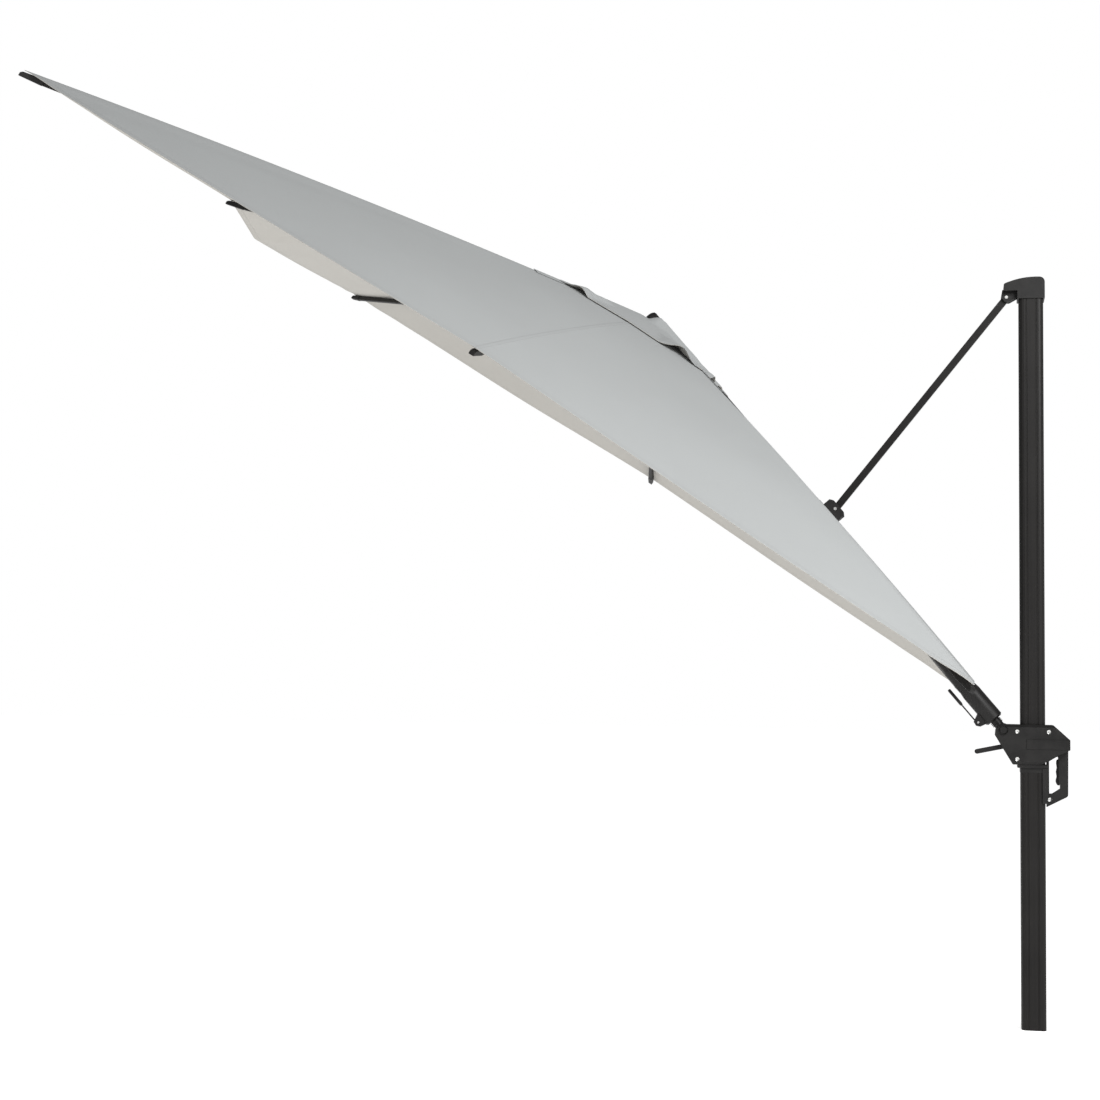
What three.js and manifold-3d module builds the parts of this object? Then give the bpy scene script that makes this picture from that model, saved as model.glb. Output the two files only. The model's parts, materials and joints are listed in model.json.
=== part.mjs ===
// Cantilever parasol with a square canopy of 3 m sides.
//
// A mast stands on the origin. A slider runs on it and carries the foot of the boom. A strut from the
// mast's cap holds the boom at its middle, so the boom's end travels out and in at nearly one height. The
// canopy hangs on the boom's end: seven folding ribs, with the boom lying in the slit where an eighth rib
// would be.
// Millimetres, +Z up, the boom reaching toward -X, the near side at -Y.

import * as THREE from 'three';
import { mergeVertices } from 'three/addons/utils/BufferGeometryUtils.js';
import Module from 'manifold-3d';

const wasm = await Module();
wasm.setup();

// ---------------------------------------------------------------- driving dimensions

const GAP = 0.3; // between faces that touch
const DEG = Math.PI / 180;

const MAST = { width: 75, corner: 15, wall: 3, height: 2290, groove: 5, grooveDepth: 1.2, grooveAt: 15 };
const CAP = { top: 2342, depth: 84, lip: 2273, side: 42, noseEnd: -84, noseBottom: 2299, cheek: 9 };
const FOOT_PLUG = { height: 40, wall: 4 };

const STRUT_TOP = { x: -75, z: 2283 }; // pin under the cap's nose
const BOOM_FOOT = { x: -89, z: 917 }; // bolt in the slider
const BOOM_ANGLE = 49.7; // degrees above level
const CANOPY_ANGLE = 33; // degrees above level, at the canopy's outer side

// along the boom from its foot bolt, and square to it
const BOOM = { radius: 25, wall: 2.5, start: 190, end: 1740 };
const BRACKET = { along: 868, height: 52, length: 70, width: 40, collarRadius: 31, collar: 64 };
const BASE_PLATE = { start: 810, length: 112, under: 28, top: 33.5 };
const SLEEVE = { radius: 30, endRadius: 25, start: 40, taper: 150, end: 172 };
const COLLAR = { radius: 28, start: 172.4, end: 250 };
const NECK = { radius: 15, end: 39.6, ring: 18, rings: 3, firstRing: 24, ringPitch: 5, ringWidth: 3 };
const KNUCKLE = { radius: 21, halfWidth: 16 };
const LEVER = { along: 66, drop: 44, eye: 9, rod: 4.5, rodEnd: 138, grip: 10, gripEnd: 202, pin: 3 };
const LUG = { half: 14, slot: 5.5 };

const STRUT = { height: 22, width: 13, eye: 13, pin: 5, pinGap: 0.4 };

const SLIDER = { halfDepth: 56, bore: 38.6, cavity: 20, wall: 44, chamfer: 16, bottom: 811, top: 935 };
const FOOT_BOLT = { radius: 11, capRadius: 13.5, capHeight: 6 };
const SCREW = { head: 6.2, shank: 3, proud: 1.5, sunk: 2.7, length: 13, play: 0.3 };
const SLIDER_SCREWS = [[-48, 913], [47, 913], [-48, 828]];
const HANDLE_SCREW = [51, 704];
const BAND = { from: -20, to: 111, bottom: 859, top: 889, height: 2.3 };
const HANDLE = { depth: 30, left: 41.5, right: 107, top: 857, grip: 77 };
const GUIDE = { left: 28, right: 44.5, half: 42, bottom: 692, top: 800 };
const TRIGGER = { width: 14, bottom: 748, top: 828, back: 80 };
const BUSH = { bottom: 786, flange: 801, top: 810.6, play: 0.4, lip: 6, noseLip: 8 };
const TRAVEL_LEVER = { x: -62, z: 872, y: -29, width: 10, thickness: 15, length: 110, droop: 12 };

const CANOPY = { half: 1500, apex: 450, bow: 64, middleLift: 30, sheet: 3, slit: 48, alongBoom: 1728 };
const SHEET_ABOVE_RIB = 4;
const RIB = { width: 14, height: 18, start: 62, nearHub: 398, easeOver: 500, end: 60 };
const RIB_TIP = { beyond: 6, collar: 1, nose: 10, chamfer: 3 };
const HUB = { radius: 48, height: 26, centre: 392, notch: 12 };
const RUNNER = { radius: 51, height: 24, depth: 202 };
const STRETCHER = { width: 10, height: 14, hubRadius: 62, onRib: 620 };
const VENT = { half: 330, lift: 16, hole: 36, overBoom: 32, boomHalf: 90, cells: 4, sides: 40 };

// ---------------------------------------------------------------- making solids

const paint = (color, roughness, metalness) =>
  new THREE.MeshStandardMaterial({ color, roughness, metalness });
const ANTHRACITE = () => paint(0x35312e, 0.5, 0.4);
const PLASTIC = () => paint(0x2c2a29, 0.6, 0);
const STEEL = () => paint(0xc9c9c6, 0.3, 0.9);
const FABRIC = () => paint(0xaeb1b1, 0.95, 0);

function toSolid(geometry) {
  const plain = geometry.clone();
  plain.deleteAttribute('normal');
  plain.deleteAttribute('uv');
  const merged = mergeVertices(plain, 1e-4);
  const vertProperties = new Float32Array(merged.attributes.position.array);
  const triVerts = new Uint32Array(merged.index.array);
  return new wasm.Manifold(new wasm.Mesh({ numProp: 3, vertProperties, triVerts }));
}

function toGeometry(solid) {
  const mesh = solid.getMesh();
  const geometry = new THREE.BufferGeometry();
  geometry.setAttribute('position', new THREE.BufferAttribute(new Float32Array(mesh.vertProperties), 3));
  geometry.setIndex(new THREE.BufferAttribute(new Uint32Array(mesh.triVerts), 1));
  const flat = geometry.toNonIndexed();
  flat.computeVertexNormals();
  return flat;
}

function cut(geometry, ...tools) {
  return toGeometry(tools.reduce((body, tool) => body.subtract(toSolid(tool)), toSolid(geometry)));
}

function join(...geometries) {
  const [first, ...extras] = geometries;
  return toGeometry(extras.reduce((body, extra) => body.add(toSolid(extra)), toSolid(first)));
}

function box(x0, x1, y0, y1, z0, z1) {
  const geometry = new THREE.BoxGeometry(x1 - x0, y1 - y0, z1 - z0);
  return geometry.translate((x0 + x1) / 2, (y0 + y1) / 2, (z0 + z1) / 2);
}

// a cylinder along X, Y or Z, from one end to the other
function rod(axis, radius, from, to, at = [0, 0], sides = 24) {
  const geometry = new THREE.CylinderGeometry(radius, radius, to - from, sides);
  const middle = (from + to) / 2;
  if (axis === 'x') return geometry.rotateZ(-Math.PI / 2).translate(middle, at[0], at[1]);
  if (axis === 'y') return geometry.translate(at[0], middle, at[1]);
  return geometry.rotateX(Math.PI / 2).translate(at[0], at[1], middle);
}

// an outline in X and Z, given as corners, with its thickness along Y
function plate(corners, y0, y1) {
  const shape = new THREE.Shape(corners.map(([x, z]) => new THREE.Vector2(x, z)));
  return shapePlate(shape, y0, y1);
}

function shapePlate(shape, y0, y1, curveSegments = 12) {
  const geometry = new THREE.ExtrudeGeometry(shape, { depth: y1 - y0, bevelEnabled: false, curveSegments });
  return geometry.rotateX(Math.PI / 2).translate(0, y1, 0);
}

// a pipe along X
function pipe(outer, inner, from, to, sides = 32) {
  const profile = [[inner, from], [outer, from], [outer, to], [inner, to], [inner, from]];
  const geometry = new THREE.LatheGeometry(profile.map(([r, h]) => new THREE.Vector2(r, h)), sides);
  return geometry.rotateZ(-Math.PI / 2);
}

// a solid turned round X, its profile from the axis back to the axis
function turned(profile, sides = 28) {
  const geometry = new THREE.LatheGeometry(profile.map(([h, r]) => new THREE.Vector2(r, h)), sides);
  return geometry.rotateZ(-Math.PI / 2);
}

// ---------------------------------------------------------------- the scene's groups

const parasol = new THREE.Group();

// a group whose X runs outward and up at an angle, Y toward the near side and Z square to both
function slope(x, z, degrees) {
  const group = new THREE.Group();
  const c = Math.cos(degrees * DEG);
  const s = Math.sin(degrees * DEG);
  const basis = new THREE.Matrix4().makeBasis(
    new THREE.Vector3(-c, 0, s),
    new THREE.Vector3(0, -1, 0),
    new THREE.Vector3(s, 0, c),
  );
  group.quaternion.setFromRotationMatrix(basis);
  group.position.set(x, 0, z);
  parasol.add(group);
  return group;
}

const boomFrame = slope(BOOM_FOOT.x, BOOM_FOOT.z, BOOM_ANGLE);

// where a point of the boom's own frame lies in the parasol's X and Z
function onBoom(along, height) {
  const c = Math.cos(BOOM_ANGLE * DEG);
  const s = Math.sin(BOOM_ANGLE * DEG);
  return { x: BOOM_FOOT.x - along * c + height * s, z: BOOM_FOOT.z + along * s + height * c };
}

const apex = onBoom(CANOPY.alongBoom, 0);
const canopyFrame = slope(
  apex.x - CANOPY.apex * Math.sin(CANOPY_ANGLE * DEG),
  apex.z - CANOPY.apex * Math.cos(CANOPY_ANGLE * DEG),
  CANOPY_ANGLE,
);

function add(group, name, material, geometry) {
  const mesh = new THREE.Mesh(geometry, material);
  mesh.name = name;
  group.add(mesh);
  return mesh;
}

// ---------------------------------------------------------------- mast

// a square with round corners and two shallow grooves down each face
function mastOutline(half, corner, grooved) {
  const points = [];
  for (let side = 0; side < 4; side += 1) {
    const turn = new THREE.Vector2(0, 0);
    const angle = (side * Math.PI) / 2;
    const push = (x, y) => points.push(new THREE.Vector2(x, y).rotateAround(turn, angle));
    if (grooved) {
      for (const at of [-MAST.grooveAt, MAST.grooveAt]) {
        push(half, at - MAST.groove / 2);
        push(half - MAST.grooveDepth, at - MAST.groove / 4);
        push(half - MAST.grooveDepth, at + MAST.groove / 4);
        push(half, at + MAST.groove / 2);
      }
    }
    for (let step = 0; step <= 4; step += 1) {
      const bend = (step / 4) * (Math.PI / 2);
      push(half - corner + corner * Math.cos(bend), half - corner + corner * Math.sin(bend));
    }
  }
  return points;
}

function buildMast() {
  const half = MAST.width / 2;
  const shape = new THREE.Shape(mastOutline(half, MAST.corner, true));
  shape.holes.push(new THREE.Path(mastOutline(half - MAST.wall, MAST.corner - MAST.wall, false)));
  const tube = new THREE.ExtrudeGeometry(shape, { depth: MAST.height, bevelEnabled: false });
  add(parasol, 'mast_tube', ANTHRACITE(), tube);

  const plugHalf = half - MAST.wall - GAP;
  const plugShape = new THREE.Shape(mastOutline(plugHalf, MAST.corner - MAST.wall, false));
  const plug = new THREE.ExtrudeGeometry(plugShape, { depth: FOOT_PLUG.height, bevelEnabled: false });
  const inner = plugHalf - FOOT_PLUG.wall;
  const hollow = box(-inner, inner, -inner, inner, FOOT_PLUG.wall, FOOT_PLUG.height + 1);
  add(parasol, 'mast_foot_plug', PLASTIC(), cut(plug, hollow));
}

// the cap's side view: an arched top that runs out into a nose on the boom's side
function capOutline() {
  const shape = new THREE.Shape();
  shape.moveTo(CAP.side, CAP.lip);
  shape.lineTo(CAP.side, CAP.top - 18);
  shape.quadraticCurveTo(CAP.side - 1, CAP.top - 3, CAP.side - 16, CAP.top - 1);
  shape.quadraticCurveTo(6, CAP.top, -14, CAP.top - 2);
  shape.quadraticCurveTo(-48, CAP.top - 6, CAP.noseEnd + 4, CAP.top - 19);
  shape.quadraticCurveTo(CAP.noseEnd, CAP.top - 21, CAP.noseEnd, CAP.top - 26);
  shape.lineTo(CAP.noseEnd, CAP.noseBottom);
  shape.lineTo(-CAP.side, CAP.noseBottom);
  shape.lineTo(-CAP.side, CAP.lip);
  return shape;
}

// one of the two cheeks under the nose that hold the strut's pin
function capCheek(y0, y1) {
  const { x, z } = STRUT_TOP;
  const corners = [
    [x + 34, z + 23],
    [x - 13, z + 23],
    [x - 17, z],
    [x - 5, z - 15],
    [x + 9, z - 15],
    [x + 34, z - 1],
  ];
  return plate(corners, y0, y1);
}

function buildCap() {
  const half = CAP.depth / 2;
  const body = shapePlate(capOutline(), -half, half, 6);
  const bore = MAST.width / 2 + GAP;
  const socket = box(-bore, bore, -bore, bore, CAP.lip - 5, MAST.height + GAP);
  const gap = STRUT.width / 2 + 1;
  const near = capCheek(-gap - CAP.cheek, -gap);
  const far = capCheek(gap, gap + CAP.cheek);
  const strutRoom = box(CAP.noseEnd - 11, -CAP.side - 0.5, -gap, gap, CAP.lip - 11, CAP.noseBottom + 2);
  const shell = cut(join(body, near, far), socket, strutRoom);
  const at = [STRUT_TOP.x, STRUT_TOP.z];
  const hole = rod('y', STRUT.pin + GAP, -half, half, at);
  add(parasol, 'mast_cap', PLASTIC(), cut(shell, hole));
  const pinHalf = gap + CAP.cheek + 1;
  add(parasol, 'strut_top_pin', STEEL(), rod('y', STRUT.pin, -pinHalf, pinHalf, at));
}

// ---------------------------------------------------------------- strut

function buildStrut() {
  const foot = onBoom(BRACKET.along, BRACKET.height);
  const reach = Math.hypot(STRUT_TOP.x - foot.x, STRUT_TOP.z - foot.z);
  const angle = Math.atan2(STRUT_TOP.z - foot.z, STRUT_TOP.x - foot.x);
  const group = new THREE.Group();
  group.position.set(foot.x, 0, foot.z);
  group.rotation.y = -angle;
  parasol.add(group);

  const half = STRUT.width / 2;
  const bar = box(4, reach - 4, -half, half, -STRUT.height / 2, STRUT.height / 2);
  const lowEye = rod('y', STRUT.eye, -half, half);
  const topEye = rod('y', STRUT.eye, -half, half, [reach, 0]);
  const hole = STRUT.pin + STRUT.pinGap;
  const lowHole = rod('y', hole, -half - 1, half + 1);
  const topHole = rod('y', hole, -half - 1, half + 1, [reach, 0]);
  add(group, 'strut_bar', ANTHRACITE(), cut(join(bar, lowEye, topEye), lowHole, topHole));
  add(group, 'strut_foot_pin', STEEL(), rod('y', STRUT.pin, -BRACKET.width / 2 - 1, BRACKET.width / 2 + 1));
}

// ---------------------------------------------------------------- boom and its fittings

function buildBracket() {
  const { along, height, length, width, collarRadius, collar } = BRACKET;
  const ring = pipe(collarRadius, BOOM.radius + GAP, along - collar / 2, along + collar / 2);
  const half = width / 2;
  const plateEnd = BASE_PLATE.start + BASE_PLATE.length;
  const base = box(BASE_PLATE.start, plateEnd, -half, half, BASE_PLATE.under, BASE_PLATE.top);
  const foot = BASE_PLATE.under + 2;
  const shoulder = height + 6;
  const crown = height + 14;
  const corners = [
    [along - length / 2, foot],
    [along + length / 2, foot],
    [along + length / 2, shoulder],
    [along + length / 3, crown],
    [along - length / 3, crown],
    [along - length / 2, shoulder],
  ];
  const block = plate(corners, -half, half);
  const gap = STRUT.width / 2 + 1;
  const fork = box(along - length, along + length, -gap, gap, BASE_PLATE.top + 1, crown + 1);
  const bore = rod('x', BOOM.radius + GAP, along - length, along + length, [0, 0], 32);
  const pinHole = rod('y', STRUT.pin + GAP, -width, width, [along, height]);
  add(boomFrame, 'strut_bracket', PLASTIC(), cut(join(ring, base, block), fork, bore, pinHole));
}

function buildKnuckle() {
  const eye = rod('y', KNUCKLE.radius, -KNUCKLE.halfWidth, KNUCKLE.halfWidth);
  const profile = [[0, 0], [0, NECK.radius]];
  for (let ring = 0; ring < NECK.rings; ring += 1) {
    const at = NECK.firstRing + ring * NECK.ringPitch;
    const past = at + NECK.ringWidth;
    profile.push([at, NECK.radius], [at, NECK.ring], [past, NECK.ring], [past, NECK.radius]);
  }
  profile.push([NECK.end, NECK.radius], [NECK.end, 0]);
  add(boomFrame, 'boom_knuckle', PLASTIC(), join(eye, turned(profile)));
}

function buildBoom() {
  const sleeve = turned([
    [SLEEVE.start, 0],
    [SLEEVE.start, SLEEVE.endRadius],
    [SLEEVE.start + 5, SLEEVE.radius],
    [SLEEVE.taper, SLEEVE.radius],
    [SLEEVE.end, SLEEVE.endRadius + 2],
    [SLEEVE.end, 0],
  ]);
  const { along, drop } = LEVER;
  const lugCorners = [
    [along - 20, -SLEEVE.endRadius],
    [along - 14, -drop - 4],
    [along - 4, -drop - 12],
    [along + 10, -drop - 10],
    [along + 24, -SLEEVE.endRadius],
  ];
  const lug = plate(lugCorners, -LUG.half, LUG.half);
  const slot = box(along - 40, along + 60, -LUG.slot, LUG.slot, -drop - 36, -SLEEVE.radius - 1);
  const pinHole = rod('y', LEVER.pin + GAP, -LUG.half - 1, LUG.half + 1, [along, -drop], 16);
  add(boomFrame, 'boom_sleeve', PLASTIC(), cut(join(sleeve, lug), slot, pinHole));

  const socket = rod('x', BOOM.radius + GAP, BOOM.start, COLLAR.end + 5, [0, 0], 32);
  const collarBody = turned([
    [COLLAR.start, 0],
    [COLLAR.start, COLLAR.radius],
    [COLLAR.end - 8, COLLAR.radius],
    [COLLAR.end, COLLAR.radius - 2.2],
    [COLLAR.end, 0],
  ], 32);
  add(boomFrame, 'boom_collar', PLASTIC(), cut(collarBody, socket));
  const tube = pipe(BOOM.radius, BOOM.radius - BOOM.wall, BOOM.start + GAP, BOOM.end);
  add(boomFrame, 'boom_tube', ANTHRACITE(), tube);

  const capProfile = [
    [BOOM.end - 22, 0],
    [BOOM.end - 22, BOOM.radius - BOOM.wall - GAP],
    [BOOM.end + GAP, BOOM.radius - BOOM.wall - GAP],
    [BOOM.end + GAP, BOOM.radius + 1],
    [BOOM.end + 9, BOOM.radius - 1],
    [BOOM.end + 14, BOOM.radius - 8],
    [BOOM.end + 14, 0],
  ];
  add(boomFrame, 'boom_end_cap', PLASTIC(), turned(capProfile));
}

function buildRollLever() {
  const { along, drop } = LEVER;
  const eyeHalf = LUG.slot - 0.7;
  const pivot = rod('y', LEVER.eye, -eyeHalf, eyeHalf, [along, -drop]);
  const pinHole = rod('y', LEVER.pin + GAP, -eyeHalf - 1, eyeHalf + 1, [along, -drop], 16);
  const rodFoot = -drop - 6;
  const rodHalf = LEVER.rod / 2;
  const stem = box(along + 4, LEVER.rodEnd, -rodHalf, rodHalf, rodFoot, rodFoot + LEVER.rod);
  add(boomFrame, 'roll_lever_rod', ANTHRACITE(), cut(join(pivot, stem), pinHole));
  const gripHalf = LEVER.grip / 2;
  const profile = [
    [LEVER.rodEnd + GAP, 0],
    [LEVER.rodEnd + GAP, gripHalf - 1.6],
    [LEVER.rodEnd + 6, gripHalf],
    [LEVER.gripEnd - 3, gripHalf],
    [LEVER.gripEnd, gripHalf - 2],
    [LEVER.gripEnd, 0],
  ];
  const grip = turned(profile, 16).translate(0, 0, rodFoot + rodHalf);
  add(boomFrame, 'roll_lever_grip', PLASTIC(), grip);
  const pin = rod('y', LEVER.pin, -LUG.half - 1, LUG.half + 1, [along, -drop], 16);
  add(boomFrame, 'roll_lever_pin', STEEL(), pin);
}

// ---------------------------------------------------------------- slider

// the housing's side view: a cheek for the foot bolt, a level top and a shoulder over the handle
const sliderOutline = () => [
  [-61, SLIDER.bottom],
  [-114, 900],
  [-112, 918],
  [-100, 933],
  [-77, SLIDER.top],
  [61, SLIDER.top - 1],
  [HANDLE.right + 4, 889],
  [HANDLE.right + 4, 858],
  [62, 836],
  [24, SLIDER.bottom],
];

const mastRoom = (clear) => box(-clear, clear, -clear, clear, 600, 1000);

function handleRoom() {
  const half = HANDLE.depth / 2 + GAP;
  return box(20, 140, -half, half, 700, 872);
}

// the recess and hole for a screw in a face that looks to the near side
function screwRoom([x, z], face) {
  const head = rod('y', SCREW.head + SCREW.play + 0.1, face - 30, face + SCREW.sunk + SCREW.play, [x, z], 16);
  const shank = rod('y', SCREW.shank + SCREW.play, face - 30, face + SCREW.length + 1, [x, z], 12);
  return [head, shank];
}

function buildScrew(name, [x, z], face) {
  const head = rod('y', SCREW.head, face - SCREW.proud, face + SCREW.sunk, [x, z], 16);
  const shank = rod('y', SCREW.shank, face + SCREW.sunk - 1, face + SCREW.length - 2, [x, z], 12);
  add(parasol, name, STEEL(), join(head, shank));
}

// the long outer edges are cut back at an angle
function edgeCut(side, z) {
  const half = SLIDER.chamfer / 2;
  const prism = box(-200, 200, -half, half, -half, half).rotateX(Math.PI / 4);
  return prism.translate(0, side * (SLIDER.halfDepth + 2), z);
}

function leverRoom() {
  const { y, z, width } = TRAVEL_LEVER;
  const half = width / 2 + 1;
  return box(-200, -SLIDER.wall - 2, y - half, y + half, z - 46, z + 14);
}

function buildShell(name, side) {
  const { halfDepth, bore, cavity, wall, bottom, top } = SLIDER;
  const faces = [side * halfDepth, (side * GAP) / 2].sort((a, b) => a - b);
  const knuckleRoom = box(-200, -wall, -cavity, cavity, 845, 1000);
  const boltAt = [BOOM_FOOT.x, BOOM_FOOT.z];
  const boltRoom = rod('y', FOOT_BOLT.radius + GAP, -halfDepth - 1, halfDepth + 1, boltAt);
  const rooms = [mastRoom(bore), knuckleRoom, handleRoom(), boltRoom];
  rooms.push(edgeCut(side, bottom), edgeCut(side, top));
  if (side < 0) {
    rooms.push(leverRoom());
    SLIDER_SCREWS.forEach((at) => rooms.push(...screwRoom(at, -halfDepth)));
  }
  add(parasol, name, PLASTIC(), cut(plate(sliderOutline(), faces[0], faces[1]), ...rooms));
}

// a stub bolt with a wide round cap outside the shell
function buildFootBolt(name, side) {
  const at = [BOOM_FOOT.x, BOOM_FOOT.z];
  const between = (radius, a, b) => rod('y', radius, Math.min(a, b), Math.max(a, b), at);
  const outer = side * SLIDER.halfDepth;
  const shaft = between(FOOT_BOLT.radius, side * (SLIDER.cavity - 1), outer + side * 2);
  const cap = between(FOOT_BOLT.capRadius, outer + side * GAP, outer + side * FOOT_BOLT.capHeight);
  add(parasol, name, PLASTIC(), join(shaft, cap));
}

function buildSlider() {
  buildShell('slider_shell_near', -1);
  buildShell('slider_shell_far', 1);
  buildFootBolt('foot_bolt_near', -1);
  buildFootBolt('foot_bolt_far', 1);
  SLIDER_SCREWS.forEach((at, index) => buildScrew(`slider_screw_${index + 1}`, at, -SLIDER.halfDepth));
  const face = -SLIDER.halfDepth;
  const band = box(BAND.from, BAND.to, face - BAND.height, face - GAP, BAND.bottom, BAND.top);
  add(parasol, 'slider_band', PLASTIC(), band);
}

// a D-shaped handle, slanted below, with room for four fingers
function handleShape() {
  const { left, right, top, grip } = HANDLE;
  const shape = new THREE.Shape();
  shape.moveTo(left, top - 176);
  shape.lineTo(right - 6, top - 145);
  shape.quadraticCurveTo(right - 1, top - 142, right - 1, top - 135);
  shape.lineTo(right, top);
  shape.lineTo(66, top);
  shape.lineTo(left, top - 11);
  const opening = new THREE.Path();
  opening.moveTo(49, 722);
  opening.lineTo(49, 822);
  opening.lineTo(72, 836);
  opening.lineTo(grip, 836);
  opening.lineTo(grip, 756);
  opening.lineTo(grip + 5, 748);
  opening.lineTo(grip + 5, 738);
  opening.quadraticCurveTo(68, 728, 58, 722);
  shape.holes.push(opening);
  return shape;
}

// the handle's inner leg is a channel that hooks round the mast's corners, so it cannot twist
function buildHandle() {
  const half = HANDLE.depth / 2;
  const pocketHalf = TRIGGER.width / 2 + 0.5;
  const pocketBack = TRIGGER.back + 6;
  const { bottom, top } = TRIGGER;
  const pocket = box(HANDLE.grip - 1, pocketBack, -pocketHalf, pocketHalf, bottom - 1, top + 1);
  const guide = box(GUIDE.left, GUIDE.right, -GUIDE.half, GUIDE.half, GUIDE.bottom, GUIDE.top);
  const body = join(shapePlate(handleShape(), -half, half, 5), guide);
  const handle = cut(body, mastRoom(SLIDER.bore), pocket, ...screwRoom(HANDLE_SCREW, -half));
  add(parasol, 'slider_handle', PLASTIC(), handle);
  buildScrew('handle_screw', HANDLE_SCREW, -half);
}

// the trigger's front has a wave for each finger
function buildTrigger() {
  const half = TRIGGER.width / 2;
  const { bottom, top, back } = TRIGGER;
  const shape = new THREE.Shape();
  shape.moveTo(back, bottom);
  shape.lineTo(back, top);
  shape.lineTo(back - 7, top);
  shape.bezierCurveTo(back - 13, top - 13, back - 5, top - 22, back - 9, top - 32);
  shape.bezierCurveTo(back - 13, top - 42, back - 5, bottom + 30, back - 10, bottom + 20);
  shape.bezierCurveTo(back - 13, bottom + 12, back - 9, bottom + 4, back - 5, bottom);
  add(parasol, 'release_trigger', PLASTIC(), shapePlate(shape, -half, half, 6));
}

function buildBush() {
  const outer = SLIDER.bore - GAP;
  const ring = box(-outer, outer, -outer, outer, BUSH.bottom, BUSH.top);
  const wide = outer + BUSH.lip;
  const flange = box(-outer - BUSH.noseLip, wide, -wide, wide, BUSH.flange, BUSH.top);
  const bore = mastRoom(MAST.width / 2 + BUSH.play);
  add(parasol, 'slider_bush', PLASTIC(), cut(join(ring, flange), bore, handleRoom()));
}

function buildTravelLever() {
  const { x, z, y, width, thickness, length, droop } = TRAVEL_LEVER;
  const half = width / 2;
  const bar = box(-length, 0, -half, half, -thickness / 2, thickness / 2);
  const round = rod('y', thickness / 2, -half, half, [-length, 0]);
  const pivot = rod('y', thickness / 2, -half, half);
  const lever = join(bar, round, pivot).rotateY(-droop * DEG).translate(x, y, z);
  add(parasol, 'travel_lock_lever', PLASTIC(), lever);
}

// ---------------------------------------------------------------- canopy frame

// how high the sheet stands over the rim's plane, a fraction of the way from the middle to the rim
function sheetHeight(fraction) {
  return CANOPY.apex * (1 - fraction) + CANOPY.bow * fraction * (1 - fraction);
}

// the rib angles leave out the one where the boom lies
const RIB_ANGLES = [0, 45, 90, 135, 225, 270, 315];

const isCorner = (degrees) => degrees % 90 !== 0;
const ribReach = (degrees) => (isCorner(degrees) ? CANOPY.half * Math.SQRT2 : CANOPY.half);

// the rib's top, under the sheet
function ribTop(degrees, radius) {
  const fraction = radius / ribReach(degrees);
  const lift = isCorner(degrees) ? 0 : CANOPY.middleLift * fraction;
  const under = sheetHeight(fraction) + lift - SHEET_ABOVE_RIB;
  const blend = Math.max(0, 1 - (radius - RIB.start) / RIB.easeOver);
  return under - (under - RIB.nearHub) * blend * (under > RIB.nearHub ? 1 : 0);
}

function ribGroup(degrees) {
  const group = new THREE.Group();
  group.rotation.z = degrees * DEG;
  canopyFrame.add(group);
  return group;
}

function ribShape(degrees) {
  const steps = 10;
  const last = ribReach(degrees) - RIB.end;
  const top = [];
  const bottom = [];
  for (let step = 0; step <= steps; step += 1) {
    const radius = RIB.start + ((last - RIB.start) * step) / steps;
    const height = ribTop(degrees, radius);
    top.push([radius, height]);
    bottom.unshift([radius, height - RIB.height]);
  }
  return [...top, ...bottom];
}

function buildRib(degrees, number) {
  const group = ribGroup(degrees);
  const half = RIB.width / 2;
  add(group, `rib_${number}`, ANTHRACITE(), plate(ribShape(degrees), -half, half));

  const from = ribReach(degrees) - RIB.end + GAP;
  const to = ribReach(degrees) + RIB_TIP.beyond;
  const edge = to - RIB_TIP.beyond;
  const corners = [
    [from, ribTop(degrees, from) + RIB_TIP.collar],
    [edge, ribTop(degrees, edge) + RIB_TIP.collar],
    [to, ribTop(degrees, to) - RIB_TIP.chamfer],
    [to, ribTop(degrees, to) - RIB_TIP.chamfer - RIB_TIP.nose],
    [from, ribTop(degrees, from) - RIB.height - RIB_TIP.collar],
  ];
  add(group, `rib_tip_${number}`, PLASTIC(), plate(corners, -half - RIB_TIP.collar, half + RIB_TIP.collar));
  buildStretcher(group, degrees, number);
}

// the stretcher runs from under the rib in to the runner
function buildStretcher(group, degrees, number) {
  const at = STRETCHER.onRib;
  const outer = ribTop(degrees, at) - RIB.height - STRETCHER.height / 2 - 3;
  const inner = HUB.centre - RUNNER.depth;
  const lean = (outer - inner) / (at - STRETCHER.hubRadius);
  const half = STRETCHER.height / 2;
  const length = Math.hypot(at - STRETCHER.hubRadius, outer - inner);
  const bar = box(0, length, -STRETCHER.width / 2, STRETCHER.width / 2, -half, half);
  const placed = bar.rotateY(-Math.atan(lean)).translate(STRETCHER.hubRadius, 0, inner);
  add(group, `stretcher_${number}`, ANTHRACITE(), placed);
}

function buildHubs() {
  const { radius, height, centre } = HUB;
  const hub = rod('z', radius, centre - height / 2, centre + height / 2, [0, 0], 32);
  const notches = RIB_ANGLES.map((degrees) => {
    const half = RIB.width / 2 + 1;
    const room = box(radius - HUB.notch, radius + 1, -half, half, centre - height, centre + height);
    return room.rotateZ(degrees * DEG);
  });
  const room = rod('x', BOOM.radius + 1, CANOPY.alongBoom - 2 * HUB.radius, 2 * BOOM.end, [0, 0], 32);
  boomFrame.updateMatrixWorld(true);
  canopyFrame.updateMatrixWorld(true);
  room.applyMatrix4(boomFrame.matrixWorld).applyMatrix4(canopyFrame.matrixWorld.clone().invert());
  add(canopyFrame, 'canopy_hub', PLASTIC(), cut(hub, room, ...notches));

  const low = centre - RUNNER.depth;
  const runner = rod('z', RUNNER.radius, low - RUNNER.height / 2, low + RUNNER.height / 2, [0, 0], 32);
  add(canopyFrame, 'canopy_runner', PLASTIC(), runner);
}

// ---------------------------------------------------------------- canopy sheets

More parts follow.
